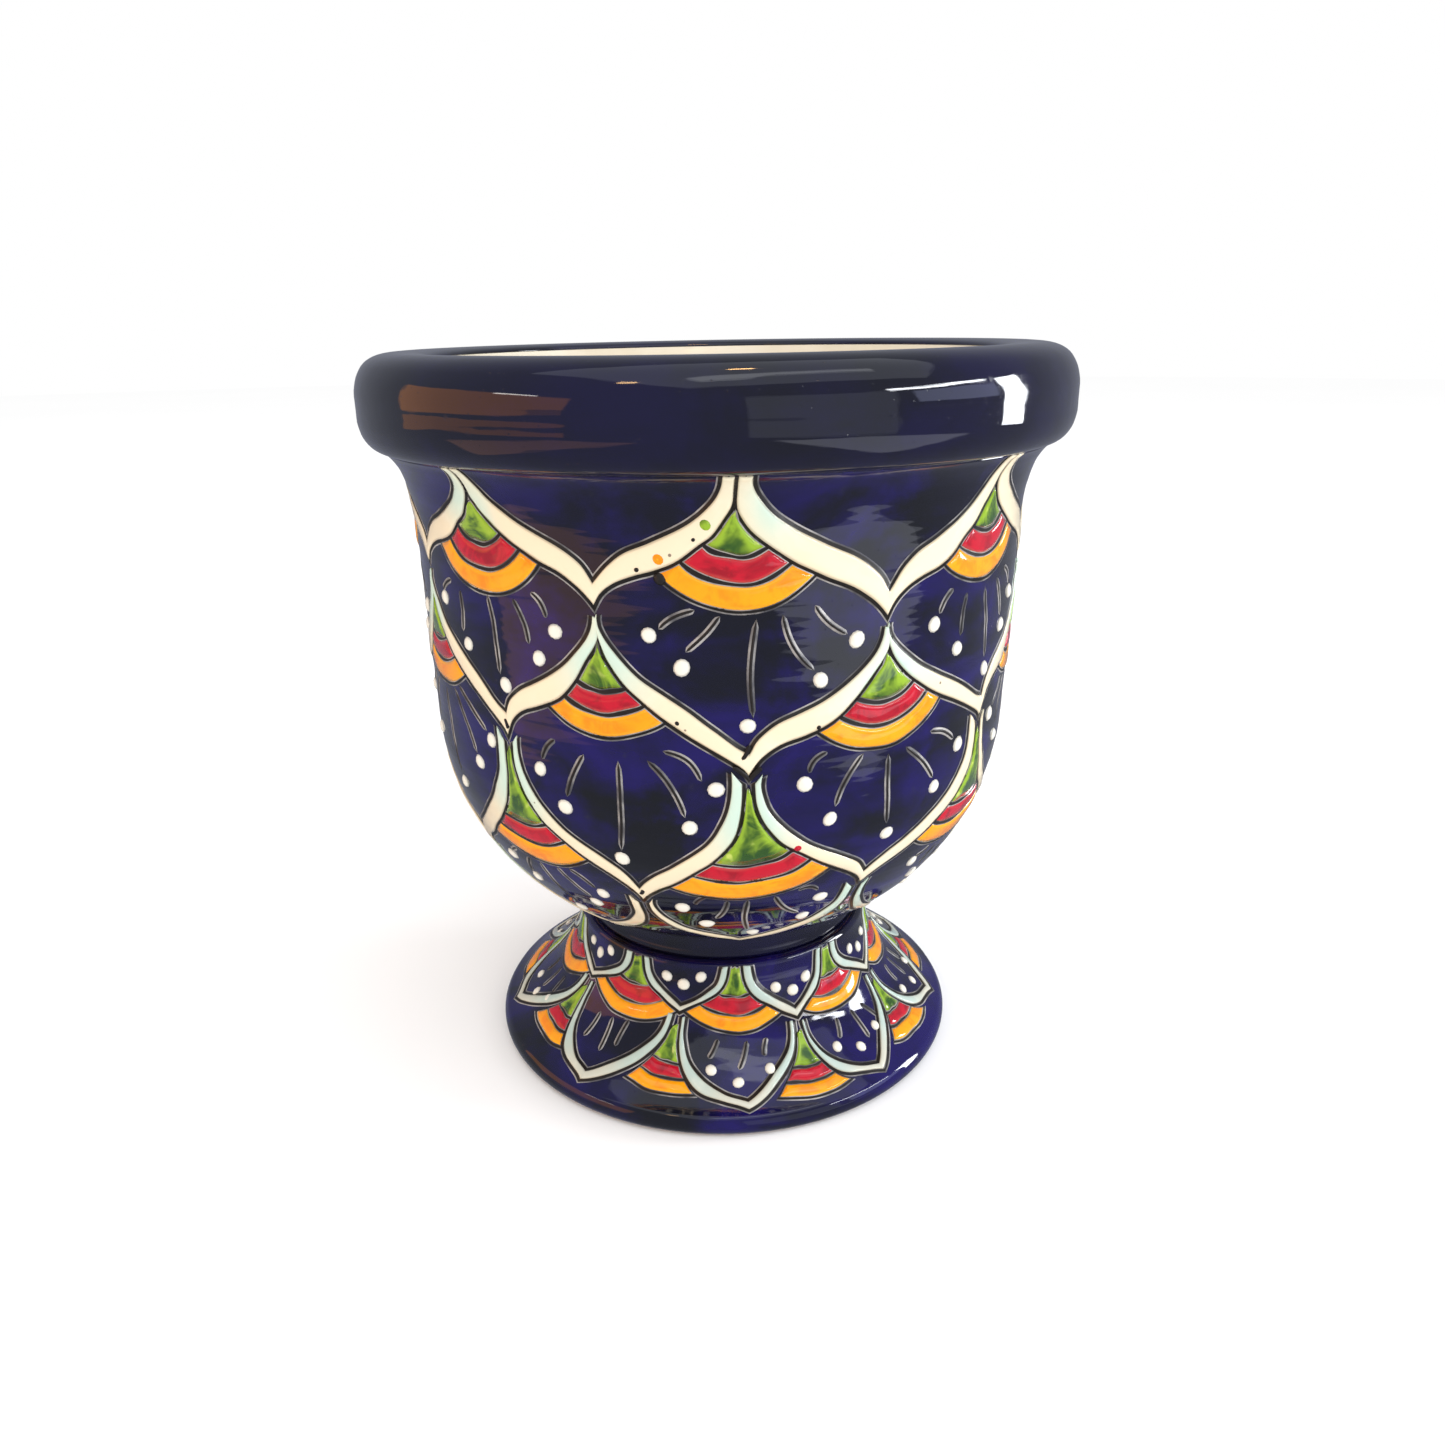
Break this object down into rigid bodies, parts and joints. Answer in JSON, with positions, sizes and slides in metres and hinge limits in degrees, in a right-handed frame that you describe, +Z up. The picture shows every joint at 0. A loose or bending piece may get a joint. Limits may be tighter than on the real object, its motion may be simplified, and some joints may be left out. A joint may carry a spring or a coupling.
{
  "type": "talavera footed planter urn",
  "caption": "Footed earthenware urn with a rolled collar, cobalt glaze and a raised fish-scale pattern, for holding a potted plant or cut stems",
  "frame": {"origin": "centre of the standing face, on the surface that the urn stands on", "axes": "+Z up along the urn's axis, -Y is the front face"},
  "size_m": [0.25, 0.25, 0.267],
  "materials": {
    "terracotta": "unglazed low-fired earthenware",
    "cream_lining": "glossy tin glaze",
    "cobalt_glaze": "glossy deep cobalt glaze",
    "ribbon_white": "glossy raised tin-white glaze",
    "leaf_green": "glossy pooled copper-green glaze",
    "crimson": "glossy raised crimson glaze",
    "orange": "glossy raised orange-yellow glaze",
    "dot_white": "glossy raised slip dots"
  },
  "bodies": {
    "root": {"bowl": "terracotta", "rim_collar": "terracotta", "neck_ring": "terracotta", "pedestal_foot": "terracotta", "bowl_lining": "cream_lining", "bowl_glaze": "cobalt_glaze", "rim_glaze": "cobalt_glaze", "neck_glaze": "cobalt_glaze", "foot_glaze": "cobalt_glaze", "bowl_top_ribbons": "ribbon_white", "bowl_upper_ribbons": "ribbon_white", "bowl_middle_ribbons": "ribbon_white", "bowl_lower_ribbons": "ribbon_white", "bowl_green_fans": "leaf_green", "bowl_crimson_bands": "crimson", "bowl_orange_bands": "orange", "bowl_upper_dots": "dot_white", "bowl_middle_dots": "dot_white", "bowl_lower_dots": "dot_white", "foot_top_ribbons": "ribbon_white", "foot_lower_ribbons": "ribbon_white", "foot_green_fans": "leaf_green", "foot_crimson_bands": "crimson", "foot_orange_bands": "orange", "foot_top_dots": "dot_white", "foot_lower_dots": "dot_white"}
  },
  "joints": []
}
